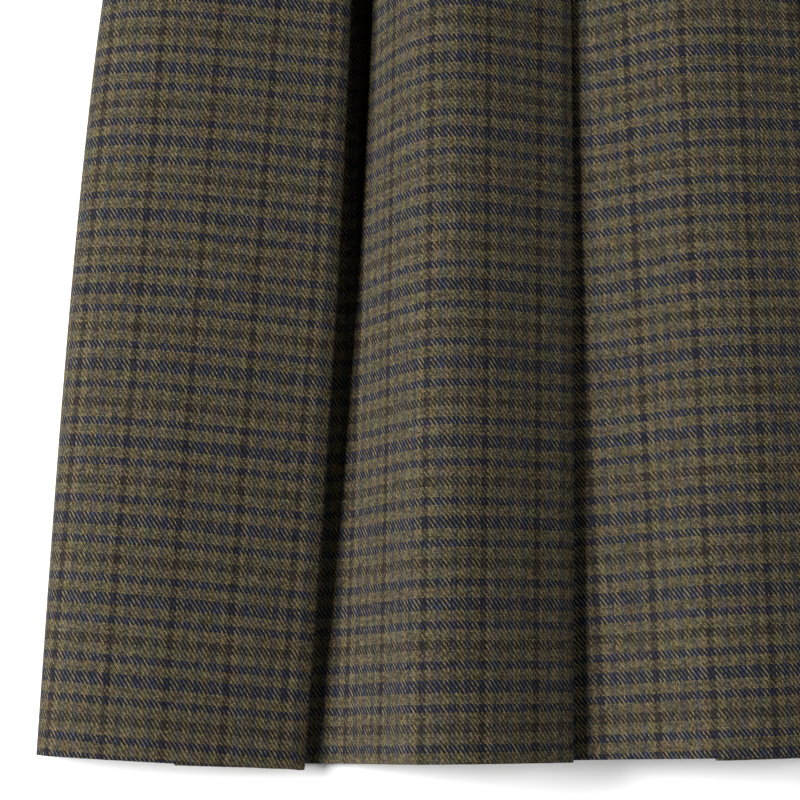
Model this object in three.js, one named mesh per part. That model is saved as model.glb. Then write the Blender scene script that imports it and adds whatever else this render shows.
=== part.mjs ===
// A knee-length wool skirt with knife pleats, closed and laid flat on its back.
//
// Frame: millimetres. +X runs across the skirt to the viewer's right, +Y from hem to waist, +Z up from the
// surface it lies on. The back panel rests on the surface, the front panel lies on it, and a folded waistband
// holds both at the top, lapped and buttoned at the viewer's right.
//
// Every section across the skirt is one line of cloth, drawn at a height above the hem. The same functions give
// that line for the front and the back, and a wall of cloth is raised on both sides of it.

import * as THREE from 'three';

// ---------------------------------------------------------------------------------------------------------
// Driving dimensions, mm
// ---------------------------------------------------------------------------------------------------------

const CLOTH_WALL = 1.2;            // folded wool twill with its nap
const SEAM_GAP = 0.35;             // between neighbouring pieces
const SKIRT_LENGTH = 565;          // hem to waist seam
const BAND_HEIGHT = 35;            // finished waistband

const CLOTH_PER_PLEAT = 246;       // flat cloth in one pleat, the same all the way up
const SIDE_HALF_HEM = 255;         // half of the flat hem
const SIDE_NARROWING = 0.038;      // a side edge closes in by this per mm of height
const SIDE_HIP_CURVE = 28.5;       // and by this more over the hip

const CREST_ROW = 388;             // height above the hem of the upper column of the profile tables
const FREE_HEIGHT = 400;           // the pleats stand free up to here and are pressed flat at the waist
const VALLEY_PRESSED = 5.4;        // middle of the cloth in a pressed pleat's lowest and highest layer
const CREST_PRESSED = 8.6;
const LAYER_FREE = 3.4;            // from one layer of a pleat to the next, at the inner fold
const LAYER_PRESSED = 1.6;
const EDGE_RADIUS_FREE = 1.3;      // middle of the cloth round the visible fold edge
const EDGE_RADIUS_PRESSED = 0.8;
const ROLL_PRESSED = 4.5;          // width of the flat roll at a crease once pressed
const UNDER_POWER = 1.7;           // how late the lowest layer comes down to the valley

// Height of the middle of the cloth over the surface, across each visible panel from left to right: `across` is
// the share of the panel's width, `hem` the height at the hem and `upper` the height at CREST_ROW.
const PANELS = [
  [
    { across: 0, hem: 2.4, upper: 2.4 }, { across: 0, hem: 10, upper: 10 },
    { across: 0.012, hem: 17, upper: 17 }, { across: 0.045, hem: 22, upper: 22.5 },
    { across: 0.1, hem: 26, upper: 27 }, { across: 0.2, hem: 29.5, upper: 31 },
    { across: 0.3, hem: 31, upper: 32.5 }, { across: 0.4, hem: 30.8, upper: 32.8 },
    { across: 0.5, hem: 29, upper: 32 }, { across: 0.62, hem: 26, upper: 30.5 },
    { across: 0.75, hem: 21.5, upper: 28.5 }, { across: 0.87, hem: 17, upper: 26.3 },
    { across: 0.98, hem: 12.5, upper: 24 },
  ],
  [
    { across: 0.04, hem: 3.6, upper: 5 }, { across: 0.08, hem: 4, upper: 6 },
    { across: 0.12, hem: 5.5, upper: 11 }, { across: 0.16, hem: 10.5, upper: 19.5 },
    { across: 0.2, hem: 16, upper: 28 }, { across: 0.24, hem: 22.5, upper: 36 },
    { across: 0.28, hem: 30, upper: 42.5 }, { across: 0.32, hem: 37.5, upper: 47.2 },
    { across: 0.36, hem: 44.5, upper: 50.5 }, { across: 0.4, hem: 50, upper: 52.8 },
    { across: 0.45, hem: 53.5, upper: 54.2 }, { across: 0.52, hem: 55, upper: 54.6 },
    { across: 0.6, hem: 53.8, upper: 53 }, { across: 0.7, hem: 49.8, upper: 49.3 },
    { across: 0.8, hem: 44, upper: 44.8 }, { across: 0.9, hem: 37.3, upper: 40 },
    { across: 1, hem: 30, upper: 35 },
  ],
  [
    { across: 0.04, hem: 17.6, upper: 27.4 }, { across: 0.08, hem: 19.2, upper: 28.5 },
    { across: 0.12, hem: 20.8, upper: 30 }, { across: 0.16, hem: 22.6, upper: 32 },
    { across: 0.21, hem: 25.4, upper: 35 }, { across: 0.28, hem: 30, upper: 39.5 },
    { across: 0.36, hem: 37, upper: 44 }, { across: 0.42, hem: 43, upper: 46.5 },
    { across: 0.48, hem: 48, upper: 48 }, { across: 0.55, hem: 51.2, upper: 48.8 },
    { across: 0.62, hem: 52.3, upper: 48.6 }, { across: 0.7, hem: 51.8, upper: 47.6 },
    { across: 0.8, hem: 49.3, upper: 45.2 }, { across: 0.9, hem: 45.3, upper: 42 },
    { across: 1, hem: 40.5, upper: 38.5 },
  ],
  [
    { across: 0.04, hem: 4.5, upper: 5 }, { across: 0.08, hem: 8, upper: 9 },
    { across: 0.12, hem: 13, upper: 14 }, { across: 0.16, hem: 19, upper: 20 },
    { across: 0.2, hem: 25, upper: 26 }, { across: 0.25, hem: 31, upper: 32 },
    { across: 0.32, hem: 36, upper: 37 }, { across: 0.4, hem: 38.5, upper: 39.5 },
    { across: 0.5, hem: 38.5, upper: 39.5 }, { across: 0.6, hem: 36.5, upper: 37.5 },
    { across: 0.7, hem: 33, upper: 34 }, { across: 0.8, hem: 28.5, upper: 29.5 },
    { across: 0.88, hem: 24, upper: 25 }, { across: 0.94, hem: 19.5, upper: 20 },
    { across: 0.975, hem: 14.5, upper: 15 }, { across: 0.993, hem: 10, upper: 10 },
    { across: 1, hem: 6.5, upper: 6.5 }, { across: 1, hem: 2.4, upper: 2.4 },
  ],
];

// One row per pleat, left to right. Its crease stands at x = edge + lean * height + bend * height squared.
// `rollOut` and `rollDown` are the soft roll past the crease, to the right and down, and `valley` and
// `valleyUpper` are how high the next panel starts, at the hem and at CREST_ROW. The last three are how far the
// finished hem stands over the level line at the crease, at the inner fold and in the valley.
const PLEATS = [
  {
    edge: -126.5, lean: 0.0773, bend: -5.9e-5, rollOut: 2.5, rollDown: 1.6, valley: 3.4,
    valleyUpper: 3.4, edgeHem: -3.6, innerHem: -1.2, valleyHem: -0.7,
  },
  {
    edge: -1.2, lean: 0.018, bend: -1.6e-5, rollOut: 3, rollDown: 2.5, valley: 17,
    valleyUpper: 27, edgeHem: 0.2, innerHem: 0.4, valleyHem: 1.1,
  },
  {
    edge: 127, lean: 0.0211, bend: -1.03e-4, rollOut: 5, rollDown: 9, valley: 4,
    valleyUpper: 4, edgeHem: 3.7, innerHem: 1.5, valleyHem: 2.6,
  },
];
const SIDE_HEM = { left: 3.6, right: 6.0 };
const BACK_HEM = 6.5;

const BACK_SHIFT_HEM = 17;         // the back's folds lie this far left of the front's
const BACK_SHIFT_WAIST = 12;
const BACK_SETTLE = 10;            // the back comes down to the surface over this width past a fold
const BACK_LAYER = 1.6;            // from one layer of a back pleat to the next

const BAND = {
  wall: 2.4,                       // two layers of cloth with interfacing
  seamHeight: 8.7,                 // middle of the front wall at the waist seam
  topHeight: 4.1,                  // and at the top edge
  taper: 2.5,                      // each side closes in over the band's height
  lapLength: 46,                   // the buttoned end lies this far back over the front
  lapGap: 0.4,
  sideRadius: 5,
};

const BUTTON = { radius: 7.5, thickness: 2.6, bevel: 0.6, holeRadius: 0.9, holeSpread: 1.9, fromEnd: 13 };

// Heights above the hem at which a section is taken.
const FRONT_ROWS = [0, 90, 190, 290, 388, 420, 450, 480, 510, 540, 565];
const BACK_ROWS = [0, 110, 220, 330, 450, 565];
const BAND_ROWS = [0, 0.12, 0.5, 0.88, 1];

const FOLDS = PLEATS.length;
const LOWEST_HEM = Math.min(...PLEATS.map((pleat) => pleat.edgeHem));
const MIDDLE_Y = (SKIRT_LENGTH + SEAM_GAP + BAND_HEIGHT + LOWEST_HEM) / 2;

// ---------------------------------------------------------------------------------------------------------
// Sizes at a height above the hem
// ---------------------------------------------------------------------------------------------------------

const { lerp, smoothstep, degToRad } = THREE.MathUtils;

/** Share of the pressing at the waist, 0 where the pleats stand free and 1 at the waist seam. */
const pressed = (height) => smoothstep(height, FREE_HEIGHT, SKIRT_LENGTH);

const sideEdge = (height) => (
  SIDE_HALF_HEM - SIDE_NARROWING * height - SIDE_HIP_CURVE * (height / SKIRT_LENGTH) ** 3.8
);

/** X of the visible crease number `fold`, counted from 0 at the left. */
function foldEdge(fold, height) {
  const { edge, lean, bend } = PLEATS[fold];
  return edge + lean * height + bend * height ** 2;
}

const pitch = (height) => (foldEdge(FOLDS - 1, height) - foldEdge(0, height)) / (FOLDS - 1);
const underlay = (height) => (CLOTH_PER_PLEAT - pitch(height)) / 2;
const layer = (height) => lerp(LAYER_FREE, LAYER_PRESSED, pressed(height));
const edgeRadius = (height) => lerp(EDGE_RADIUS_FREE, EDGE_RADIUS_PRESSED, pressed(height));

/** Points on a round fold, turning from one angle to another, both in degrees. */
function foldArc(centreX, centreZ, radius, fromDeg, toDeg, steps, lift) {
  return Array.from({ length: steps }, (_, i) => {
    const angle = degToRad(lerp(fromDeg, toDeg, i / (steps - 1)));
    return { x: centreX + radius * Math.cos(angle), z: centreZ + radius * Math.sin(angle), lift };
  });
}

// ---------------------------------------------------------------------------------------------------------
// The line of cloth across the front and the back
// ---------------------------------------------------------------------------------------------------------

/** The visible face of one panel, from its valley or side seam to its crease or side seam. */
function panelTop(panel, height) {
  const first = panel === 0;
  const last = panel === FOLDS;
  const seam = CLOTH_WALL / 2;
  const start = first ? -sideEdge(height) + seam : foldEdge(panel - 1, height);
  const end = last ? sideEdge(height) - seam : foldEdge(panel, height);
  const startHem = first ? SIDE_HEM.left : PLEATS[panel - 1].valleyHem;
  const endHem = last ? SIDE_HEM.right : PLEATS[panel].edgeHem;
  const pressedCrest = last ? VALLEY_PRESSED : CREST_PRESSED;
  return PANELS[panel].map((row) => {
    const free = lerp(row.hem, row.upper, Math.min(height / CREST_ROW, 1));
    const atSeam = row.hem === 2 * CLOTH_WALL;
    const rise = first ? 1 : smoothstep(row.across, 0, 0.12);
    const flat = atSeam ? row.hem : Math.min(free, lerp(VALLEY_PRESSED, pressedCrest, rise));
    return {
      x: lerp(start, last ? end : end - ROLL_PRESSED * pressed(height), row.across),
      z: lerp(free, flat, pressed(height)),
      lift: lerp(startHem, endHem, row.across),
    };
  });
}

/** The point of a line of cloth at `x`, between its two neighbours. */
function pointAt(line, x) {
  const next = Math.max(line.findIndex((point) => point.x >= x), 1);
  const before = line[next - 1];
  const share = (x - before.x) / (line[next].x - before.x);
  return { x, z: lerp(before.z, line[next].z, share), lift: lerp(before.lift, line[next].lift, share) };
}

/** The soft roll past a crease, down to where the cloth turns under. */
function creaseRoll(fold, height) {
  const crease = panelTop(fold, height).at(-1);
  const { rollOut, rollDown, edgeHem } = PLEATS[fold];
  return [0.35, 0.7, 1].map((share) => ({
    x: crease.x + share * lerp(rollOut, ROLL_PRESSED, pressed(height)),
    z: crease.z - rollDown * share * (1 - pressed(height)),
    lift: edgeHem,
  }));
}

/** The hidden part of a front pleat: back under its panel, round the inner fold and out to the next valley. */
function pleatUnder(fold, height) {
  const { innerHem, valleyHem, valley, valleyUpper } = PLEATS[fold];
  const panel = panelTop(fold, height);
  const edgeX = foldEdge(fold, height);
  const innerX = edgeX - underlay(height);
  const spacing = layer(height);
  const edge = edgeRadius(height);
  const covered = [0, 0.2, 0.4, 0.6, 0.8, 1].map((share) => (
    pointAt(panel, lerp(innerX + spacing, panel.at(-1).x, share))
  ));
  const over = [...covered, ...creaseRoll(fold, height)];
  const innerLayer = offsetLine(over, -spacing);
  const edgeLayer = offsetLine(over, -2 * edge);
  const under = over.map((point, i) => {
    const share = i / (over.length - 1);
    const weight = share ** 2;
    return {
      x: lerp(innerLayer[i].x, edgeLayer[i].x, weight),
      z: lerp(innerLayer[i].z, edgeLayer[i].z, weight),
      lift: lerp(innerHem, point.lift, share),
    };
  }).reverse();
  const tip = over.at(-1);
  const tipAngle = THREE.MathUtils.radToDeg(Math.atan2(tip.z - under[0].z, tip.x - under[0].x));
  const tipX = (tip.x + under[0].x) / 2;
  const tipZ = (tip.z + under[0].z) / 2;
  const turn = foldArc(tipX, tipZ, edge, tipAngle - 36, tipAngle - 144, 4, tip.lift);
  const inner = spacing / 2;
  const top = under.at(-1);
  const innerTurn = foldArc(innerX + inner, top.z - inner, inner, 90, 270, 5, innerHem);
  const bottomZ = top.z - spacing;
  const valleyFree = lerp(valley, valleyUpper, Math.min(height / CREST_ROW, 1));
  const valleyZ = lerp(valleyFree, VALLEY_PRESSED, pressed(height));
  const bottom = [0.08, 0.18, 0.3, 0.42, 0.54, 0.66, 0.78, 0.9, 1].map((share) => ({
    x: lerp(innerX + inner, edgeX, share),
    z: lerp(bottomZ, valleyZ, share ** UNDER_POWER),
    lift: lerp(innerHem, valleyHem, share),
  }));
  return [...turn, ...under, ...innerTurn, ...bottom];
}

function frontLine(height) {
  const line = [];
  for (let panel = 0; panel <= FOLDS; panel += 1) {
    line.push(...panelTop(panel, height));
    if (panel < FOLDS) line.push(...creaseRoll(panel, height), ...pleatUnder(panel, height));
  }
  return line;
}

/** The back lies flat on the surface, with its pleats folded on the inside. */
function backLine(height) {
  const half = CLOTH_WALL / 2;
  const side = sideEdge(height);
  const endZ = 2 * CLOTH_WALL - SEAM_GAP;
  const radius = BACK_LAYER / 2;
  const curl = [
    { inset: half, z: endZ }, { inset: half, z: half + 0.8 }, { inset: half + 0.8, z: half + 0.1 },
    { inset: half + 2.4, z: half },
  ];
  const line = curl.map(({ inset, z }) => ({ x: -side + inset, z, lift: SIDE_HEM.left }));
  const add = (x, z) => line.push({ x, z, lift: BACK_HEM });
  for (let fold = 0; fold < FOLDS; fold += 1) {
    const edgeX = foldEdge(fold, height) - lerp(BACK_SHIFT_HEM, BACK_SHIFT_WAIST, height / SKIRT_LENGTH);
    const innerX = edgeX - underlay(height);
    add(edgeX - 2 * radius, half);
    line.push(...foldArc(edgeX - radius, half + radius, radius, -90, 90, 5, BACK_HEM));
    line.push(...foldArc(innerX + radius, half + 3 * radius, radius, 270, 90, 5, BACK_HEM));
    for (const share of [0, 0.2, 0.4, 0.6, 0.8, 1]) {
      const x = edgeX + 2 * radius + share * BACK_SETTLE;
      add(x, half + 2 * BACK_LAYER * (1 - smoothstep(share, 0, 1)));
    }
  }
  for (const { inset, z } of [...curl].reverse()) line.push({ x: side - inset, z, lift: SIDE_HEM.right });
  return line;
}

/** The waistband as one strip: from its lapped end round the right side, along the back, round the left side
 * and along the front, where it ends under the lap. `share` is 0 at the waist seam and 1 at the top edge. */
function bandLine(share) {
  const side = sideEdge(SKIRT_LENGTH) - share * BAND.taper;
  const half = BAND.wall / 2;
  const frontZ = lerp(BAND.seamHeight, BAND.topHeight, share);
  const lapZ = frontZ + BAND.wall + BAND.lapGap;
  const lift = 0;
  const line = [{ x: side - BAND.lapLength, z: lapZ, lift }, { x: side - BAND.lapLength / 2, z: lapZ, lift }];
  const turn = (centreX, lowZ, highZ, fromDeg, toDeg, steps) => {
    const middle = (lowZ + highZ) / 2;
    for (let i = 0; i < steps; i += 1) {
      const angle = degToRad(lerp(fromDeg, toDeg, i / (steps - 1)));
      const x = centreX + (BAND.sideRadius - half) * Math.cos(angle);
      line.push({ x, z: middle + (highZ - middle) * Math.sin(angle), lift });
    }
  };
  turn(side - BAND.sideRadius, half, lapZ, 90, -90, 9);
  turn(-side + BAND.sideRadius, half, frontZ, 270, 90, 7);
  line.push({ x: side - BAND.sideRadius - BAND.wall, z: frontZ, lift });
  return line;
}

// ---------------------------------------------------------------------------------------------------------
// Solids
// ---------------------------------------------------------------------------------------------------------

/** Moves a section's points along its normals by `distance`, mitred so that the wall keeps its thickness. */
function offsetLine(line, distance) {
  return line.map((point, i) => {
    const before = line[Math.max(i - 1, 0)];
    const after = line[Math.min(i + 1, line.length - 1)];
    const first = new THREE.Vector2(point.x - before.x, point.z - before.z);
    const second = new THREE.Vector2(after.x - point.x, after.z - point.z);
    if (i === 0) first.copy(second);
    if (i === line.length - 1) second.copy(first);
    first.normalize();
    second.normalize();
    const along = first.clone().add(second).normalize();
    const mitre = distance / Math.max(along.dot(first), 0.8);
    return { x: point.x - along.y * mitre, z: point.z + along.x * mitre };
  });
}

/** Raises a closed wall on both sides of a stack of section lines, each at its own height along Y. */
function wallGeometry(sections, wall) {
  const columns = sections[0].line.length;
  const positions = [];
  for (const side of [1, -1]) {
    for (const { line, heightAt } of sections) {
      offsetLine(line, (side * wall) / 2).forEach((point, i) => {
        positions.push(point.x, heightAt(line[i]) - MIDDLE_Y, point.z);
      });
    }
  }
  const rows = sections.length;
  const vertex = (side, row, column) => (side * rows + row) * columns + column;
  const index = [];
  const quad = (a, b, c, d) => index.push(a, b, c, a, c, d);
  for (let row = 0; row + 1 < rows; row += 1) {
    for (let column = 0; column + 1 < columns; column += 1) {
      quad(vertex(0, row, column), vertex(0, row, column + 1),
        vertex(0, row + 1, column + 1), vertex(0, row + 1, column));
      quad(vertex(1, row, column), vertex(1, row + 1, column),
        vertex(1, row + 1, column + 1), vertex(1, row, column + 1));
    }
    quad(vertex(0, row, 0), vertex(0, row + 1, 0), vertex(1, row + 1, 0), vertex(1, row, 0));
    const last = columns - 1;
    quad(vertex(0, row, last), vertex(1, row, last), vertex(1, row + 1, last), vertex(0, row + 1, last));
  }
  for (let column = 0; column + 1 < columns; column += 1) {
    quad(vertex(0, 0, column), vertex(1, 0, column), vertex(1, 0, column + 1), vertex(0, 0, column + 1));
    const top = rows - 1;
    quad(vertex(0, top, column), vertex(0, top, column + 1),
      vertex(1, top, column + 1), vertex(1, top, column));
  }
  const geometry = new THREE.BufferGeometry();
  geometry.setAttribute('position', new THREE.Float32BufferAttribute(positions, 3));
  geometry.setIndex(index);
  geometry.computeVertexNormals();
  return geometry;
}

/** Sections of the skirt's cloth: the hem's own lift fades out toward the waist seam. */
function skirtSections(lineAt, rows) {
  return rows.map((height) => ({
    line: lineAt(height),
    heightAt: (point) => height + point.lift * (1 - height / SKIRT_LENGTH),
  }));
}

function bandSections() {
  return BAND_ROWS.map((share) => ({
    line: bandLine(share),
    heightAt: () => SKIRT_LENGTH + SEAM_GAP + share * BAND_HEIGHT,
  }));
}

/** A flat four-hole button with a rounded rim, lying on the lap of the waistband. */
function buttonGeometry() {
  const outline = new THREE.Shape().absarc(0, 0, BUTTON.radius - BUTTON.bevel, 0, 2 * Math.PI, false);
  for (const angle of [45, 135, 225, 315]) {
    const turn = degToRad(angle);
    const hole = new THREE.Path();
    const x = BUTTON.holeSpread * Math.cos(turn);
    const y = BUTTON.holeSpread * Math.sin(turn);
    hole.absarc(x, y, BUTTON.holeRadius, 0, 2 * Math.PI, true);
    outline.holes.push(hole);
  }
  return new THREE.ExtrudeGeometry(outline, {
    depth: BUTTON.thickness - 2 * BUTTON.bevel,
    bevelEnabled: true,
    bevelThickness: BUTTON.bevel,
    bevelSize: BUTTON.bevel,
    bevelOffset: 0,
    bevelSegments: 2,
    curveSegments: 10,
  });
}

// ---------------------------------------------------------------------------------------------------------
// The skirt
// ---------------------------------------------------------------------------------------------------------

function piece(name, geometry, colour, roughness) {
  const material = new THREE.MeshStandardMaterial({ color: colour, roughness, metalness: 0 });
  const mesh = new THREE.Mesh(geometry, material);
  mesh.name = name;
  return mesh;
}

const CHECK_CLOTH = 0x4e4a3a;
const BAND_CLOTH = 0x48442f;
const HORN = 0x2b211a;

const skirt = new THREE.Group();
const backCloth = wallGeometry(skirtSections(backLine, BACK_ROWS), CLOTH_WALL);
const frontCloth = wallGeometry(skirtSections(frontLine, FRONT_ROWS), CLOTH_WALL);
skirt.add(piece('skirt_back', backCloth, CHECK_CLOTH, 0.95));
skirt.add(piece('skirt_front', frontCloth, CHECK_CLOTH, 0.95));
skirt.add(piece('waistband', wallGeometry(bandSections(), BAND.wall), BAND_CLOTH, 0.95));

/** The button lies parallel to the sloping lap, centred on the band. */
function placeButton(button) {
  const slope = Math.atan2(BAND.topHeight - BAND.seamHeight, BAND_HEIGHT);
  const lapZ = lerp(BAND.seamHeight, BAND.topHeight, 0.5) + BAND.wall + BAND.lapGap;
  const clear = (BAND.wall / 2 + SEAM_GAP) / Math.cos(slope) + BUTTON.bevel;
  const x = sideEdge(SKIRT_LENGTH) - BAND.taper / 2 - BAND.lapLength + BUTTON.fromEnd;
  button.position.set(x, SKIRT_LENGTH + SEAM_GAP + BAND_HEIGHT / 2 - MIDDLE_Y, lapZ + clear);
  button.rotation.x = slope;
}

const button = piece('waist_button', buttonGeometry(), HORN, 0.45);
placeButton(button);
skirt.add(button);

export default skirt;
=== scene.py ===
"""A knee-length wool skirt with knife pleats, closed, buttoned and laid flat on its back.

The front and the back are thin sheets of woven cloth, each drawn as one line of cloth at many heights above
the hem and raised into a shell. The waistband, its topstitching and the button lie at the top. Lengths of the
cloth and the button are in millimetres, with the part's axes, until a mesh is made. The lights' are in metres.
"""

import logging
import math
from dataclasses import dataclass, field
from enum import Enum
from typing import Callable, Iterable, Sequence

import bpy
import numpy as np
from mathutils import Matrix, Vector


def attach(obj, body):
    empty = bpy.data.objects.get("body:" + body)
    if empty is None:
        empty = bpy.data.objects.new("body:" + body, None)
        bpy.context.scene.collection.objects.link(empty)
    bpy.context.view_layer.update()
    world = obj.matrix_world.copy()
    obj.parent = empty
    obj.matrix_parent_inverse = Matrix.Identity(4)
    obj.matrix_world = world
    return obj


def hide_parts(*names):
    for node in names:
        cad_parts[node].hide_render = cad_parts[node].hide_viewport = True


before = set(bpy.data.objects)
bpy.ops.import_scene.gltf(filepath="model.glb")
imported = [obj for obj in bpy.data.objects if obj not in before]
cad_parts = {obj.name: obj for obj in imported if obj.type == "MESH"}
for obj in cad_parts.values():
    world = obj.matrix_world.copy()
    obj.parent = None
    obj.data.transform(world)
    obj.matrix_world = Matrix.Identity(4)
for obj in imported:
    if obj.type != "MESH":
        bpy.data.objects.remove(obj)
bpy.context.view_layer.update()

logging.basicConfig(level=logging.INFO, format="%(message)s")
LOG = logging.getLogger("skirt")

MM = 0.001


# ------------------------------------------------------------------------------------------------------------
# Small helpers
# ------------------------------------------------------------------------------------------------------------


def linear(hex_colour: str) -> tuple[float, float, float, float]:
    """Turns an sRGB hex colour to linear values.

    Args:
        hex_colour: six hexadecimal digits after a hash sign.

    Returns:
        Red, green, blue and an alpha of 1.
    """
    shares = [int(hex_colour[i : i + 2], 16) / 255 for i in (1, 3, 5)]
    red, green, blue = (c / 12.92 if c <= 0.04045 else ((c + 0.055) / 1.055) ** 2.4 for c in shares)
    return red, green, blue, 1.0


def lerp(low: float, high: float, share: float) -> float:
    """Goes from low to high by a share."""
    return low + (high - low) * share


def smoothstep(value: float, low: float, high: float) -> float:
    """Rises softly from 0 at low to 1 at high."""
    share = min(max((value - low) / (high - low), 0.0), 1.0)
    return share * share * (3 - 2 * share)


def smooth_line(points: np.ndarray, steps: Sequence[int]) -> np.ndarray:
    """Runs a soft curve through points.

    Args:
        points: one row per point, drawn through with all of its columns.
        steps: how many pieces each stretch between two points is cut into.

    Returns:
        The points of the curve, with the last one.
    """
    knots = np.concatenate([[0.0], np.cumsum(np.linalg.norm(np.diff(points, axis=0), axis=1) + 1e-6)])
    slopes = np.diff(points, axis=0) / np.diff(knots)[:, None]
    tangents = np.empty_like(points)
    tangents[0], tangents[-1] = slopes[0], slopes[-1]
    before, after = np.diff(knots)[:-1, None], np.diff(knots)[1:, None]
    tangents[1:-1] = (slopes[:-1] * after + slopes[1:] * before) / (before + after)
    parts = []
    for i, count in enumerate(steps):
        share = (np.arange(count) / count)[:, None]
        width = knots[i + 1] - knots[i]
        parts.append(
            (2 * share**3 - 3 * share**2 + 1) * points[i]
            + (share**3 - 2 * share**2 + share) * width * tangents[i]
            + (3 * share**2 - 2 * share**3) * points[i + 1]
            + (share**3 - share**2) * width * tangents[i + 1]
        )
    return np.concatenate([*parts, points[-1:]])


def offset_line(line: np.ndarray, distance: float | np.ndarray) -> np.ndarray:
    """Moves a line of x and z to its left side, seen along the line.

    Args:
        line: one row per point, x and z first.
        distance: how far, one value or one for each point.

    Returns:
        The moved x and z.
    """
    along = np.gradient(line[:, :2], axis=0)
    along /= np.maximum(np.linalg.norm(along, axis=1, keepdims=True), 1e-9)
    normal = np.stack([-along[:, 1], along[:, 0]], axis=1)
    return line[:, :2] + normal * np.reshape(distance, (-1, 1))


def arc_length(line: np.ndarray) -> np.ndarray:
    """Distance along a line of x and z, from its first point to each."""
    return np.concatenate([[0.0], np.cumsum(np.linalg.norm(np.diff(line[:, :2], axis=0), axis=1))])


def round_fold(middle: Sequence[float], radius: float, turns: np.ndarray, lift: float) -> np.ndarray:
    """Draws the round part of a fold.

    Args:
        middle: x and z of its middle.
        radius: the fold's radius.
        turns: the direction of each point, seen from the middle, in radians.
        lift: the hem's lift all round it.

    Returns:
        Rows of x, z and the hem's lift.
    """
    across, up = middle[0] + radius * np.cos(turns), middle[1] + radius * np.sin(turns)
    return np.stack([across, up, np.full(len(turns), lift)], axis=1)


def add_mesh(name: str, points: np.ndarray, faces: Iterable[Sequence[int]]) -> bpy.types.Object:
    """Makes an object from points in millimetres, already in the part's own axes.

    Args:
        name: name of the object and its mesh.
        points: one row per point.
        faces: the points of each face, anticlockwise seen from outside.

    Returns:
        The new object.
    """
    mesh = bpy.data.meshes.new(name)
    mesh.from_pydata((np.asarray(points) * MM).tolist(), [], [list(face) for face in faces])
    mesh.update()
    piece = bpy.data.objects.new(name, mesh)
    bpy.context.scene.collection.objects.link(piece)
    return piece


def tube_faces(first: int, rings: int, sides: int, outward: bool) -> list[list[int]]:
    """Lists the faces of a closed tube of rings.

    Args:
        first: number of the first ring's first point.
        rings: how many rings follow one another.
        sides: how many points a ring has.
        outward: whether the rings turn so that a side's corners run along the ring first.

    Returns:
        The sides' and then the two ends' points.
    """
    faces = []
    for low in range(first, first + (rings - 1) * sides, sides):
        for k in range(sides):
            after = (k + 1) % sides
            side = [low + k, low + after, low + sides + after, low + sides + k]
            faces.append(side if outward else [side[0], *side[:0:-1]])
    start, end = ([low + k for k in range(sides)] for low in (first, first + (rings - 1) * sides))
    return [*faces, start[::-1], end] if outward else [*faces, start, end[::-1]]


def add_cut(piece: bpy.types.Object, cuts: Iterable[Sequence[float]]) -> None:
    """Keeps the cloth's flat cut, given in millimetres for each corner of each face, as a UV map in metres."""
    layer = piece.data.uv_layers.new(name="cut")
    layer.data.foreach_set("uv", (np.asarray(cuts) * MM).astype(np.float32).ravel())


def select_only(piece: bpy.types.Object) -> None:
    """Selects one object and makes it the active one."""
    bpy.ops.object.select_all(action="DESELECT")
    piece.select_set(True)
    bpy.context.view_layer.objects.active = piece


def shade(piece: bpy.types.Object, degrees: float) -> None:
    """Shades a piece smooth, apart from edges sharper than some degrees."""
    select_only(piece)
    bpy.ops.object.shade_smooth_by_angle(angle=math.radians(degrees))


def add_node(
    tree: bpy.types.NodeTree, kind: str, inputs: dict | None = None, **settings: object
) -> bpy.types.Node:
    """Adds a node with its settings and links.

    Args:
        tree: the material's node tree.
        kind: Blender's name for the kind of node, without the word ShaderNode.
        inputs: for each input's name or number, a value, the output that feeds it, or a node whose first
            output does.
        settings: values of the node's own properties.

    Returns:
        The new node.
    """
    node = tree.nodes.new("ShaderNode" + kind)
    for name, value in settings.items():
        setattr(node, name, value)
    for name, value in (inputs or {}).items():
        feed = value.outputs[0] if isinstance(value, bpy.types.Node) else value
        if isinstance(feed, bpy.types.NodeSocket):
            tree.links.new(feed, node.inputs[name])
        else:
            node.inputs[name].default_value = feed
    return node


# ------------------------------------------------------------------------------------------------------------
# Finishes
# ------------------------------------------------------------------------------------------------------------


class Yarn(Enum):
    """The dyed yarns of the check, as sRGB hex colours."""

    OLIVE = "#71664c"
    SLATE = "#53524f"
    NAVY = "#1f2743"
    BROWN = "#3c3631"


@dataclass(frozen=True)
class Stripe:
    """A run of threads of one yarn in the warp or the weft."""

    yarn: Yarn
    threads: int


@dataclass(frozen=True)
class Finish:
    """What all finishes share: a name, a roughness and how to make a fresh material."""

    name: str
    roughness: float

    def fresh(self) -> tuple[bpy.types.Material, bpy.types.NodeTree, bpy.types.Node]:
        """Makes an empty material.

        Returns:
            The material, its node tree and its shader.
        """
        material = bpy.data.materials.new(self.name)
        material.use_nodes = True
        tree = material.node_tree
        tree.nodes.clear()
        shader = add_node(tree, "BsdfPrincipled", {"Roughness": self.roughness})
        add_node(tree, "OutputMaterial", {"Surface": shader.outputs["BSDF"]})
        return material, tree, shader


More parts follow.
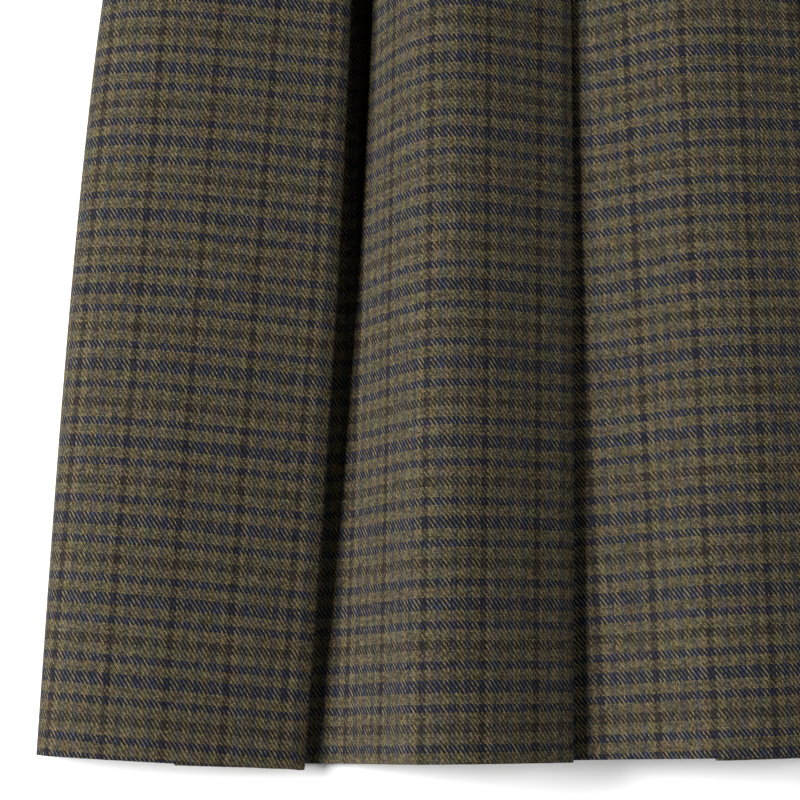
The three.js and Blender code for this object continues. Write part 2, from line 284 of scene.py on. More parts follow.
@dataclass(frozen=True)
class CheckTwill(Finish):
    """Wool worsted twill, yarn-dyed in a small check and lightly pressed.

    To the eye it is matt, with fine diagonal ribs, a thin bloom of short fibres that lights up at a glancing
    angle, and threads that are each a little lighter or darker than the next. The tone is `plain_tone` with
    shares of the thread's own tone, of its fibres and of a mottle, with painted shade where the weave's relief
    is low (at a thread's edges, at the ends of its floats and in the furrows where the weft's floats lie), and
    uneven where its slubs are. The last two heights are counted in fibres' thicknesses.
    """

    warp_mm: float = 0.5442
    weft_mm: float = 0.7346
    repeat: float = 4.0
    furrow: float = 0.6
    plain_tone: float = 0.46
    thread_tone: float = 0.36
    fibre_tone: float = 0.62
    mottle_tone: float = 0.10
    # Painted shade: the share of the tone that is kept where the threads' relief is lowest.
    painted_gap_shade: float = 0.12
    slub: float = 0.58
    melange: tuple[float, float, float] = (0.25, 0.25, 0.35)
    dye_drift: tuple[float, float, float] = (0.5, 0.3, 0.7)
    float_height: float = 1.2
    rib_height: float = 3.2
    warp: tuple[Stripe, ...] = (
        Stripe(Yarn.BROWN, 6),
        Stripe(Yarn.OLIVE, 7),
        Stripe(Yarn.SLATE, 6),
        Stripe(Yarn.OLIVE, 7),
        Stripe(Yarn.SLATE, 6),
        Stripe(Yarn.OLIVE, 7),
        Stripe(Yarn.SLATE, 6),
        Stripe(Yarn.OLIVE, 7),
    )
    weft: tuple[Stripe, ...] = (
        Stripe(Yarn.BROWN, 6),
        Stripe(Yarn.OLIVE, 7),
        Stripe(Yarn.NAVY, 5),
        Stripe(Yarn.OLIVE, 7),
        Stripe(Yarn.NAVY, 8),
        Stripe(Yarn.OLIVE, 7),
        Stripe(Yarn.NAVY, 5),
        Stripe(Yarn.OLIVE, 7),
    )

    def threads(
        self, tree: bpy.types.NodeTree, along: bpy.types.NodeSocket, width: float, stripes: Sequence[Stripe]
    ) -> tuple[bpy.types.Node, bpy.types.Node, bpy.types.NodeSocket, bpy.types.Node]:
        """Draws one of the two sets of threads.

        Args:
            tree: the material's node tree.
            along: the distance across the threads, in metres.
            width: the width of one thread, in millimetres.
            stripes: the runs of coloured threads, repeated.

        Returns:
            The distance counted in threads, the thread's number, its colour and how high its round side
            stands, 0 to 1.
        """
        counted = add_node(tree, "Math", {0: along, 1: 1 / (width * MM)}, operation="MULTIPLY")
        number = add_node(tree, "Math", {0: counted}, operation="FLOOR")
        across = add_node(tree, "Math", {0: counted}, operation="FRACT")
        total = sum(stripe.threads for stripe in stripes)
        turn = add_node(tree, "Math", {0: number, 1: total}, operation="FLOORED_MODULO")
        share = add_node(tree, "Math", {0: turn, 1: 1 / total, 2: 0.5 / total}, operation="MULTIPLY_ADD")
        ramp = add_node(tree, "ValToRGB", {"Fac": share})
        ramp.color_ramp.interpolation = "CONSTANT"
        stops = ramp.color_ramp.elements
        done = 0
        for i, stripe in enumerate(stripes):
            stop = stops[i] if i < 2 else stops.new(done / total)
            stop.position = done / total
            stop.color = linear(stripe.yarn.value)
            done += stripe.threads
        return counted, number, ramp.outputs["Color"], self.arch(tree, across, 0.5, 2.0)

    def arch(
        self, tree: bpy.types.NodeTree, place: bpy.types.Node, middle: float, scale: float
    ) -> bpy.types.Node:
        """Rises to 1 at a middle and falls to 0 at `1 / scale` to either side, as a round thread does.

        Args:
            tree: the material's node tree.
            place: the place across or along the thread.
            middle: where the thread stands highest.
            scale: one over the distance from there to the thread's edge.

        Returns:
            The node of the height.
        """
        centred = add_node(tree, "Math", {0: place, 1: scale, 2: -middle * scale}, operation="MULTIPLY_ADD")
        squared = add_node(tree, "Math", {0: centred, 1: centred}, operation="MULTIPLY")
        return add_node(tree, "Math", {0: 1.0, 1: squared}, operation="SUBTRACT")

    def float_relief(
        self,
        tree: bpy.types.NodeTree,
        own: bpy.types.Node,
        other: bpy.types.Node,
        crown: bpy.types.Node,
        middle: float,
    ) -> tuple[bpy.types.Node, bpy.types.Node]:
        """Shapes and tones a float, the stretch where a thread lies over two others: round across and along.

        Args:
            tree: the material's node tree.
            own: the number of the thread.
            other: the distance counted in the threads that it crosses.
            crown: the height of the thread's round side.
            middle: where the float's middle lies in the weave's repeat.

        Returns:
            The height, and the float's own tone, 0 to 1.
        """
        step = add_node(tree, "Math", {0: own, 1: other}, operation="ADD")
        turn = add_node(tree, "Math", {0: step, 1: self.repeat}, operation="FLOORED_MODULO")
        along = self.arch(tree, turn, middle, 1.0)
        height = add_node(tree, "Math", {0: along, 1: crown}, operation="MULTIPLY")
        repeats = add_node(tree, "Math", {0: step, 1: 1 / self.repeat}, operation="MULTIPLY")
        which = add_node(tree, "Math", {0: repeats}, operation="FLOOR")
        place = add_node(tree, "CombineXYZ", {0: own, 1: which, 2: middle})
        return height, add_node(tree, "TexWhiteNoise", {"Vector": place}, noise_dimensions="3D")

    def material(self) -> bpy.types.Material:
        """Makes the cloth from its threads, read from the piece's own flat cut.

        Returns:
            The material.
        """
        material, tree, shader = self.fresh()
        cut = add_node(tree, "UVMap", uv_map="cut")
        axes = add_node(tree, "SeparateXYZ", {0: cut})
        across, along = axes.outputs[0], axes.outputs[1]
        warp_at, warp_number, warp_colour, warp_crown = self.threads(tree, across, self.warp_mm, self.warp)
        weft_at, weft_number, weft_colour, weft_crown = self.threads(tree, along, self.weft_mm, self.weft)
        # Two over, two under, one step along with each pick.
        step = add_node(tree, "Math", {0: warp_number, 1: weft_number}, operation="ADD")
        turn = add_node(tree, "Math", {0: step, 1: self.repeat}, operation="FLOORED_MODULO")
        warp_up = add_node(tree, "Math", {0: turn, 1: 1.5}, operation="LESS_THAN")
        warp_float, warp_tone = self.float_relief(tree, warp_number, weft_at, warp_crown, 1.0)
        weft_float, weft_tone = self.float_relief(tree, weft_number, warp_at, weft_crown, 3.0)
        # The weft's floats lie in the furrows between the warp's ribs.
        sunk = add_node(tree, "Math", {0: weft_float, 1: self.furrow}, operation="MULTIPLY")
        inputs = {"Factor": warp_up, "A": weft_colour, "B": warp_colour}
        colour = add_node(tree, "Mix", inputs, data_type="RGBA").outputs["Result"]
        inputs = {"Factor": warp_up, "A": sunk, "B": warp_float}
        relief = add_node(tree, "Mix", inputs, data_type="FLOAT").outputs["Result"]
        inputs = {"Factor": warp_up, "A": weft_tone, "B": warp_tone}
        float_tone = add_node(tree, "Mix", inputs, data_type="FLOAT").outputs["Result"]
        # Each thread is a little lighter or darker all along its length.
        warp_key = add_node(tree, "CombineXYZ", {0: warp_number, 1: 0.5})
        weft_key = add_node(tree, "CombineXYZ", {0: 0.5, 1: weft_number})
        inputs = {"Factor": warp_up, "A": weft_key, "B": warp_key}
        on_top = add_node(tree, "Mix", inputs, data_type="VECTOR").outputs["Result"]
        thread_tone = add_node(tree, "TexWhiteNoise", {"Vector": on_top}, noise_dimensions="3D")
        # Fibres, half a millimetre across, a slow mottle of some centimetres, and a drift of the dye.
        fibres = add_node(tree, "TexNoise", {"Vector": cut, "Scale": 1500.0, "Detail": 2.0, "Roughness": 0.6})
        mottle = add_node(tree, "TexNoise", {"Vector": cut, "Scale": 60.0, "Detail": 3.0, "Roughness": 0.55})
        drift = add_node(tree, "TexNoise", {"Vector": cut, "Scale": 140.0, "Detail": 2.0, "Roughness": 0.5})
        patterns = ((thread_tone, self.thread_tone), (fibres, self.fibre_tone), (mottle, self.mottle_tone))
        tone: float | bpy.types.Node = self.plain_tone
        for pattern, share in patterns:
            tone = add_node(tree, "Math", {0: pattern, 1: share, 2: tone}, operation="MULTIPLY_ADD")
        # Painted shade: the tone is darkened where the weave's relief is low, at the threads' edges, at the
        # ends of their floats and most in the furrows where the weft's floats lie.
        inputs = {0: relief, 1: 1.0 - self.painted_gap_shade, 2: self.painted_gap_shade}
        crevice_shade = add_node(tree, "Math", inputs, operation="MULTIPLY_ADD")
        tone = add_node(tree, "Math", {0: tone, 1: crevice_shade}, operation="MULTIPLY")
        inputs = {0: float_tone, 1: 2.0 * self.slub, 2: 1.0 - self.slub}
        slub = add_node(tree, "Math", inputs, operation="MULTIPLY_ADD")
        tone = add_node(tree, "Math", {0: tone, 1: slub}, operation="MULTIPLY")
        # The melange: fibres of slightly different dyes lie side by side in each yarn, and the dye itself
        # drifts over some millimetres. Both are noise in the three colours round a middle of 1.
        dyed = colour
        for noise, reach in ((fibres, self.melange), (drift, self.dye_drift)):
            inputs = {0: noise.outputs["Color"], 1: reach, 2: tuple(1.0 - share / 2 for share in reach)}
            hue = add_node(tree, "VectorMath", inputs, operation="MULTIPLY_ADD")
            dyed = add_node(tree, "VectorMath", {0: dyed, 1: hue}, operation="MULTIPLY")
        toned = add_node(tree, "VectorMath", {0: dyed, "Scale": tone}, operation="SCALE")
        # The warp's floats line up into steep ribs, four threads apart, with a furrow between each two.
        place = add_node(tree, "Math", {0: warp_at, 1: weft_at}, operation="ADD")
        inputs = {0: place, 1: 2 * math.pi / self.repeat, 2: -math.pi / 4}
        angle = add_node(tree, "Math", inputs, operation="MULTIPLY_ADD")
        rib = add_node(tree, "Math", {0: angle}, operation="SINE")
        inputs = {0: relief, 1: self.float_height, 2: fibres}
        height = add_node(tree, "Math", inputs, operation="MULTIPLY_ADD")
        height = add_node(tree, "Math", {0: rib, 1: self.rib_height, 2: height}, operation="MULTIPLY_ADD")
        bump = add_node(tree, "Bump", {"Strength": 1.0, "Distance": 0.00006, "Height": height})
        tree.links.new(toned.outputs[0], shader.inputs["Base Color"])
        tree.links.new(bump.outputs[0], shader.inputs["Normal"])
        shader.inputs["Specular IOR Level"].default_value = 0.12
        shader.inputs["Sheen Weight"].default_value = 0.03
        shader.inputs["Sheen Roughness"].default_value = 0.45
        return material


@dataclass(frozen=True)
class SewingThread(Finish):
    """Twisted polyester sewing thread, with a painted gleam and painted shade in bands along its ply."""

    colour: str = "#3b3425"
    ply_mm: float = 0.45

    def material(self) -> bpy.types.Material:
        """Makes the thread, with its twist as fine slanting bands of relief and of painted highlight and
        shade.

        Returns:
            The material.
        """
        material, tree, shader = self.fresh()
        place = add_node(tree, "TexCoord").outputs["Object"]
        inputs = {"Vector": place, "Scale": 1 / (self.ply_mm * MM * 2 * math.pi), "Distortion": 0.4}
        twist_and_painted_gleam = add_node(tree, "TexWave", inputs, wave_type="BANDS", bands_direction="DIAGONAL").outputs["Fac"]
        # Painted highlight and shade: the colour runs from darker to lighter than the thread's own across each
        # band of the twist.
        ramp = add_node(tree, "ValToRGB", {"Fac": twist_and_painted_gleam})
        base = linear(self.colour)
        ramp.color_ramp.elements[0].color = (*(0.55 * c for c in base[:3]), 1.0)
        ramp.color_ramp.elements[1].color = (*(1.35 * c for c in base[:3]), 1.0)
        bump = add_node(tree, "Bump", {"Strength": 0.4, "Distance": 0.0001, "Height": twist_and_painted_gleam})
        tree.links.new(ramp.outputs["Color"], shader.inputs["Base Color"])
        tree.links.new(bump.outputs[0], shader.inputs["Normal"])
        shader.inputs["Sheen Weight"].default_value = 0.1
        return material


@dataclass(frozen=True)
class PolishedHorn(Finish):
    """Turned and satin-polished buffalo horn: near black brown with paler cloudy streaks and a low gloss."""

    dark: str = "#17100c"
    pale: str = "#4a3524"

    def material(self) -> bpy.types.Material:
        """Makes the horn, with its grain running across the button.

        Returns:
            The material.
        """
        material, tree, shader = self.fresh()
        place = add_node(tree, "TexCoord").outputs["Object"]
        stretched = add_node(tree, "Mapping", {"Vector": place, "Scale": (160.0, 520.0, 300.0)})
        inputs = {"Vector": stretched, "Scale": 1.0, "Detail": 5.0, "Distortion": 0.8}
        grain = add_node(tree, "TexNoise", inputs)
        ramp = add_node(tree, "ValToRGB", {"Fac": grain.outputs["Fac"]})
        streaks = ramp.color_ramp.elements
        streaks[0].position, streaks[1].position = 0.42, 0.72
        streaks[0].color, streaks[1].color = linear(self.dark), linear(self.pale)
        scratches = add_node(tree, "TexNoise", {"Vector": place, "Scale": 900.0, "Detail": 3.0}).outputs["Fac"]
        bump = add_node(tree, "Bump", {"Strength": 0.08, "Distance": 0.0001, "Height": scratches})
        tree.links.new(ramp.outputs["Color"], shader.inputs["Base Color"])
        tree.links.new(bump.outputs[0], shader.inputs["Normal"])
        shader.inputs["IOR"].default_value = 1.54
        return material


@dataclass(frozen=True)
class StudioFloor(Finish):
    """Matt white painted board, which shows only soft shadows."""

    colour: str = "#f5f5f5"

    def material(self) -> bpy.types.Material:
        """Makes the board with a barely visible roller texture.

        Returns:
            The material.
        """
        material, tree, shader = self.fresh()
        place = add_node(tree, "TexCoord").outputs["Object"]
        roller = add_node(tree, "TexNoise", {"Vector": place, "Scale": 300.0}).outputs["Fac"]
        bump = add_node(tree, "Bump", {"Strength": 0.03, "Distance": 0.0002, "Height": roller})
        tree.links.new(bump.outputs[0], shader.inputs["Normal"])
        shader.inputs["Base Color"].default_value = linear(self.colour)
        shader.inputs["Specular IOR Level"].default_value = 0.1
        return material


# ------------------------------------------------------------------------------------------------------------
# The form of the cloth
# ------------------------------------------------------------------------------------------------------------


@dataclass(frozen=True)
class Crown:
    """A point of a panel's rounded front: its share of the width, and its height at the hem and higher up."""

    across: float
    hem: float
    upper: float


@dataclass(frozen=True)
class Pleat:
    """One knife pleat.

    Its crease stands at x = `edge` + `lean` * height + `bend` * height squared. The soft roll past the crease
    goes `roll_out` to the right and `roll_down` down. `valley` and `valley_upper` are how high the next panel
    starts at the hem and higher up. The last three are how far the finished hem stands over the level line at
    the crease, at the inner fold and in the valley.
    """

    edge: float
    lean: float
    bend: float
    roll_out: float
    roll_down: float
    valley: float
    valley_upper: float
    edge_hem: float
    inner_hem: float
    valley_hem: float


@dataclass(frozen=True)
class Grain:
    """How the check lies on a panel: the warp's tilt and the weft's slope in degrees, and where it starts."""

    warp_tilt: float
    weft_slope: float
    warp_start: float
    weft_start: float


@dataclass(frozen=True)
class Wave:
    """A soft uneven crease: its middle, its direction in degrees from the hem, its reach and its depth."""

    x: float
    height: float
    turn: float
    length: float
    width: float
    depth: float

    def rise(self, x: np.ndarray, height: float) -> np.ndarray:
        """How far the crease raises or lowers the cloth at some places."""
        turn, dx, dy = math.radians(self.turn), x - self.x, height - self.height
        along = dx * math.cos(turn) + dy * math.sin(turn)
        across = -dx * math.sin(turn) + dy * math.cos(turn)
        return self.depth * np.exp(-((along / self.length) ** 2) - (across / self.width) ** 2)


@dataclass(frozen=True)
class Ripple:
    """A slow unevenness of the cloth: its depth, its reach across and up the skirt, and where it starts."""

    depth: float
    across: float
    up: float
    start: float = 0.0

    def rise(self, x: np.ndarray, height: float) -> np.ndarray:
        """How far the ripple raises or lowers the cloth at some places."""
        return self.depth * np.sin(x / self.across + height / self.up + self.start)


def crowns(*rows: tuple[float, float, float]) -> tuple[Crown, ...]:
    """Names the three columns of a panel's table."""
    return tuple(Crown(*row) for row in rows)


@dataclass
class SkirtForm:
    """Sizes that the front, the back and the waistband share."""

    length: float = 565.0
    band_height: float = 35.0
    seam_gap: float = 0.35
    side_hem: float = 255.0
    side_narrowing: float = 0.038
    side_hip_curve: float = 28.5
    cloth_per_pleat: float = 246.0
    free_height: float = 400.0
    crest_row: float = 388.0
    valley_pressed: float = 5.4
    crest_pressed: float = 8.6
    roll_pressed: float = 4.5
    side_lift: tuple[float, float] = (3.6, 6.0)
    pleats: tuple[Pleat, ...] = (
        Pleat(-126.5, 0.0773, -5.9e-5, 2.5, 1.6, 3.4, 3.4, -3.6, -1.2, -0.7),
        Pleat(-1.2, 0.018, -1.6e-5, 3, 2.5, 17, 27, 0.2, 0.4, 1.1),
        Pleat(127.0, 0.0211, -1.03e-4, 5, 9, 4, 4, 3.7, 1.5, 2.6),
    )

    @property
    def folds(self) -> int:
        """How many pleats the front and the back have each."""
        return len(self.pleats)

    @property
    def middle_y(self) -> float:
        """Height above the hem of the part's own origin."""
        lowest_hem = min(pleat.edge_hem for pleat in self.pleats)
        return (self.length + self.seam_gap + self.band_height + lowest_hem) / 2

    def pressed(self, height: float) -> float:
        """Share of the pressing, 0 where the pleats stand free and 1 at the waist seam."""
        return smoothstep(height, self.free_height, self.length)

    def side(self, height: float) -> float:
        """Half of the skirt's width."""
        hip = self.side_hip_curve * (height / self.length) ** 3.8
        return self.side_hem - self.side_narrowing * height - hip

    def fold_edge(self, fold: int, height: float) -> float:
        """X of a pleat's visible crease."""
        pleat = self.pleats[fold]
        return pleat.edge + pleat.lean * height + pleat.bend * height**2

    def underlay(self, height: float) -> float:
        """Depth of a pleat behind its crease."""
        pitch = (self.fold_edge(self.folds - 1, height) - self.fold_edge(0, height)) / (self.folds - 1)
        return (self.cloth_per_pleat - pitch) / 2

    def stand(self, height: float, lift: np.ndarray) -> np.ndarray:
        """Y of points at a height: the hem's own lift fades out toward the waist."""
        return height + lift * (1 - height / self.length) - self.middle_y


@dataclass
class ClothLine:
    """One line of cloth across the skirt.

    `points` holds x, z and the hem's lift. `before` and `after` hold the flat cut's coordinates for the face
    on either side of each point, which differ where one panel's grain ends and the next one's starts.
    """

    points: np.ndarray
    before: np.ndarray
    after: np.ndarray


@dataclass
class ClothSheet:
    """A sheet of cloth as a closed shell with a turned hem."""

    form: SkirtForm
    half_wall: float = 0.475
    hem_depth: float = 38.0
    hem_fold: float = 0.35
    hem_step: float = 0.8
    hem_round: float = 0.5
    upper_rows: int = 78

    def rows(self) -> list[float]:
        """Heights above the hem of the sheet's rows, from the waist down, close together at the hem."""
        low = [0.5, 1.2, 2.4, 4.5, 8.0, 13.0, 19.0, 26.0, 32.0, 36.6, 38.0, 39.4, 44.0]
        high = list(np.linspace(50.0, self.form.length, self.upper_rows))
        return sorted([*low, *high], reverse=True)

    def shell(self, name: str, line_at: Callable[[float], ClothLine], outside: int) -> bpy.types.Object:
        """Raises a shell on both sides of the cloth's lines.

        Args:
            name: name of the piece.
            line_at: gives the line of cloth at a height above the hem.
            outside: 1 where the cloth's right side is over the line, -1 where it is under it.

        Returns:
            The piece, with the cloth's flat cut as its UV map.
        """
        rings, cuts_before, cuts_after = [], [], []

        def ring(line: ClothLine, height: float, drop: float, distance: float, fall: float) -> None:
            """Adds a row of points at a distance from the line, lowered by `drop` at the hem's round edge."""
            moved = offset_line(line.points, outside * distance)
            y = self.form.stand(height, line.points[:, 2]) - drop
            rings.append(np.stack([moved[:, 0], y, moved[:, 1]], axis=1))
            shift = np.array([0.0, fall])
            cuts_before.append(line.before + shift)
            cuts_after.append(line.after + shift)

        heights = self.rows()
        lines = [line_at(height) for height in heights]
        for line, height in zip(lines, heights):
            ring(line, height, 0.0, self.half_wall, 0.0)
        inner_hem = -(self.half_wall + self.hem_fold)
        middle, reach = (self.half_wall + inner_hem) / 2, (self.half_wall - inner_hem) / 2
        for turn in map(math.radians, (45, 90, 135)):
            drop = self.hem_round * math.sin(turn)
            ring(lines[-1], heights[-1], drop, middle + reach * math.cos(turn), -drop)
        for line, height in zip(reversed(lines), reversed(heights)):
            doubled = 1 - smoothstep(height, self.hem_depth - self.hem_step, self.hem_depth + self.hem_step)
            ring(line, height, 0.0, -self.half_wall - self.hem_fold * doubled, 0.0)
        points = np.concatenate(rings)
        count, columns = len(rings), len(rings[0])
        faces, cuts = [], []
        order = (0, 1, 2, 3) if outside > 0 else (3, 2, 1, 0)
        for row in range(count):
            below = (row + 1) % count
            for column in range(columns - 1):
                corners = [
                    (row, column, cuts_after),
                    (below, column, cuts_after),
                    (below, column + 1, cuts_before),
                    (row, column + 1, cuts_before),
                ]
                faces.append([corners[i][0] * columns + corners[i][1] for i in order])
                cuts.extend(corners[i][2][corners[i][0]][corners[i][1]] for i in order)
        rows = len(heights)
        # The raw side edges are closed by a face for each row, and one for the hem's round edge.
        edges = [[row, row + 1, count - 2 - row, count - 1 - row] for row in range(rows - 1)]
        edges.append(list(range(rows - 1, rows + 4)))
        for column, kept, flipped in ((0, cuts_after, outside > 0), (columns - 1, cuts_before, outside < 0)):
            for edge in edges:
                corners = edge[::-1] if flipped else edge
                faces.append([r * columns + column for r in corners])
                cuts.extend(kept[r][column] for r in corners)
        piece = add_mesh(name, points, faces)
        add_cut(piece, cuts)
        return piece


@dataclass
class FrontSkirt(ClothSheet):
    """The front: four panels between three deep knife pleats, puffed up over their creases."""

    name: str = "front_cloth"
    node: str = "skirt_front"
    layer_free: float = 3.4
    layer_pressed: float = 1.6
    edge_free: float = 1.3
    edge_pressed: float = 0.8
    under_power: float = 1.7
    side_inset: float = 0.6
    side_seam: float = 2.4
    start_share: float = 0.12
    column_step: float = 2.3
    cuts: list[list[int]] = field(default_factory=list)
    panels: tuple[tuple[Crown, ...], ...] = (
        crowns(
            (0, 2.4, 2.4), (0, 10, 10), (0.012, 17, 17), (0.045, 22, 22.5), (0.1, 26, 27),
            (0.2, 29.5, 31), (0.3, 31, 32.5), (0.4, 30.8, 32.8), (0.5, 29, 32), (0.62, 26, 30.5),
            (0.75, 21.5, 28.5), (0.87, 17, 26.3), (0.98, 12.5, 24),
        ),
        crowns(
            (0.04, 3.6, 5), (0.08, 4, 6), (0.12, 5.5, 11), (0.16, 10.5, 19.5), (0.2, 16, 28),
            (0.24, 22.5, 36), (0.28, 30, 42.5), (0.32, 37.5, 47.2), (0.36, 44.5, 50.5), (0.4, 50, 52.8),
            (0.45, 53.5, 54.2), (0.52, 55, 54.6), (0.6, 53.8, 53), (0.7, 49.8, 49.3), (0.8, 44, 44.8),
            (0.9, 37.3, 40), (1, 30, 35),
        ),
        crowns(
            (0.04, 17.6, 27.4), (0.08, 19.2, 28.5), (0.12, 20.8, 30), (0.16, 22.6, 32), (0.21, 25.4, 35),
            (0.28, 30, 39.5), (0.36, 37, 44), (0.42, 43, 46.5), (0.48, 48, 48), (0.55, 51.2, 48.8),
            (0.62, 52.3, 48.6), (0.7, 51.8, 47.6), (0.8, 49.3, 45.2), (0.9, 45.3, 42), (1, 40.5, 38.5),
        ),
        crowns(
            (0.04, 4.5, 5), (0.08, 8, 9), (0.12, 13, 14), (0.16, 19, 20), (0.2, 25, 26),
            (0.25, 31, 32), (0.32, 36, 37), (0.4, 38.5, 39.5), (0.5, 38.5, 39.5), (0.6, 36.5, 37.5),
            (0.7, 33, 34), (0.8, 28.5, 29.5), (0.88, 24, 25), (0.94, 19.5, 20), (0.975, 14.5, 15),
            (0.993, 10, 10), (1, 6.5, 6.5), (1, 2.4, 2.4),
        ),
    )
    grains: tuple[Grain, ...] = (
        Grain(3.70, 1.84, 26.34, 28.94),
        Grain(1.26, -0.47, 20.68, 23.65),
        Grain(-0.97, -1.40, 22.42, 21.74),
        Grain(-2.30, -1.60, 12.00, 20.00),
    )
    waves: tuple[Wave, ...] = (
        Wave(-205, 330, 78, 150, 16, 0.7),
        Wave(-178, 150, 96, 120, 13, -0.6),
        Wave(-150, 60, 84, 70, 11, 0.5),
        Wave(-62, 240, 92, 130, 14, 0.6),
        Wave(-38, 90, 80, 80, 12, -0.5),
        Wave(48, 300, 86, 120, 15, 0.7),
        Wave(74, 120, 97, 90, 12, -0.6),
        Wave(92, 420, 70, 60, 13, 0.6),
        Wave(172, 260, 100, 140, 15, 0.8),
        Wave(205, 110, 88, 90, 12, -0.6),
        Wave(-120, 480, 60, 50, 14, 0.5),
        Wave(30, 500, 112, 45, 12, 0.4),
    )
    ripples: tuple[Ripple, ...] = (Ripple(0.35, 37, 61), Ripple(0.25, 23, -43, 1.3))
    ironed: float = 0.85
    dent_above: float = 2.6
    dent_fade: float = 6.0

    def layer(self, height: float) -> float:
        """Distance from one layer of a pleat to the next."""
        return lerp(self.layer_free, self.layer_pressed, self.form.pressed(height))

    def edge(self, height: float) -> float:
        """Radius of the cloth's middle round a crease."""
        return lerp(self.edge_free, self.edge_pressed, self.form.pressed(height))

    def panel_points(self, panel: int, height: float) -> np.ndarray:
        """The named points of a panel's visible face.

        Args:
            panel: number of the panel, from 0 at the left.
            height: height above the hem.

        Returns:
            Rows of x, z and the hem's lift.
        """
        form = self.form
        first, last = panel == 0, panel == form.folds
        pressed = form.pressed(height)
        start = self.side_inset - form.side(height) if first else form.fold_edge(panel - 1, height)
        end = form.side(height) - self.side_inset if last else form.fold_edge(panel, height)
        start_hem = form.side_lift[0] if first else form.pleats[panel - 1].valley_hem
        end_hem = form.side_lift[1] if last else form.pleats[panel].edge_hem
        top = form.valley_pressed if last else form.crest_pressed
        span = end if last else end - form.roll_pressed * pressed
        rows = []
        for crown in self.panels[panel]:
            free = lerp(crown.hem, crown.upper, min(height / form.crest_row, 1.0))
            rise = 1.0 if first else smoothstep(crown.across, 0.0, self.start_share)
            flat = min(free, lerp(form.valley_pressed, top, rise))
            up = lerp(free, crown.hem if crown.hem == self.side_seam else flat, pressed)
            rows.append([lerp(start, span, crown.across), up, lerp(start_hem, end_hem, crown.across)])
        return np.array(rows, float)

    def roll_points(self, fold: int, height: float) -> np.ndarray:
        """The soft roll past a crease, as rows of x, z and lift."""
        pleat, pressed = self.form.pleats[fold], self.form.pressed(height)
        crease = self.panel_points(fold, height)[-1]
        out, down = lerp(pleat.roll_out, self.form.roll_pressed, pressed), pleat.roll_down * (1 - pressed)
        shares = np.array([0.35, 0.7, 1.0])
        across, up = crease[0] + shares * out, crease[1] - shares * down
        return np.stack([across, up, np.full(len(shares), pleat.edge_hem)], axis=1)

    def bottom_points(self, fold: int, height: float, start: np.ndarray) -> np.ndarray:
        """The lowest layer of a pleat, out to the next panel's valley.

        Args:
            fold: number of the pleat.
            height: height above the hem.
            start: where the inner fold ends, as x and z.

        Returns:
            Rows of x, z and lift.
        """
        pleat, form = self.form.pleats[fold], self.form
        valley = lerp(pleat.valley, pleat.valley_upper, min(height / form.crest_row, 1.0))
        valley = lerp(valley, form.valley_pressed, form.pressed(height))
        edge_x = form.fold_edge(fold, height)
        shares = np.array([0.0, 0.08, 0.18, 0.3, 0.42, 0.54, 0.66, 0.78, 0.9, 1.0])
        across, up = lerp(start[0], edge_x, shares), lerp(start[1], valley, shares**self.under_power)
        return np.stack([across, up, lerp(pleat.inner_hem, pleat.valley_hem, shares)], axis=1)

    def steps(self, controls: np.ndarray) -> list[int]:
        """How finely each stretch is cut, from its length at the hem."""
        lengths = np.linalg.norm(np.diff(controls[:, :2], axis=0), axis=1)
        return [max(1, round(float(length) / self.column_step)) for length in lengths]

    def dent(self, x: np.ndarray, height: float) -> np.ndarray:
        """How far the soft creases and ripples raise or lower all the layers at some places."""
        total = sum(fold.rise(x, height) for fold in (*self.waves, *self.ripples))
        return total * (1 - self.ironed * self.form.pressed(height))

    def line(self, height: float) -> ClothLine:
        """The whole line of the front's cloth at a height.

        Args:
            height: height above the hem.

        Returns:
            The line, with its flat cut.
        """
        parts: list[np.ndarray] = []
        marks: list[tuple[int, int]] = []
        creases: list[int] = []
        count = 0
        bottom: np.ndarray | None = None
        for panel in range(self.form.folds + 1):
            top = self.panel_points(panel, height)
            controls = top if bottom is None else np.concatenate([bottom, top])
            last = panel == self.form.folds
            if not last:
                controls = np.concatenate([controls, self.roll_points(panel, height)])
            curve = smooth_line(controls, self.cuts[panel])
            crease = sum(self.cuts[panel]) - (0 if last else sum(self.cuts[panel][-3:]))
            creases.append(count + crease)
            parts.append(curve)
            count += len(curve)
            if last:
                break
            turned, inner_middle, bottom = self.under(panel, height, curve, crease)
            marks.append((count + inner_middle, panel))
            parts.append(turned)
            count += len(turned)
        points = np.concatenate(parts)
        arc = arc_length(points)
        owner = np.zeros(len(points), int)
        for place, panel in marks:
            owner[place:] = panel + 1
        before = self.cut_at(points, arc, creases, np.concatenate([owner[:1], owner[:-1]]), height)
        after = self.cut_at(points, arc, creases, owner, height)
        free = np.clip((points[:, 1] - self.dent_above) / self.dent_fade, 0.0, 1.0)
        points[:, 1] += self.dent(points[:, 0], height) * free
        return ClothLine(points, before, after)

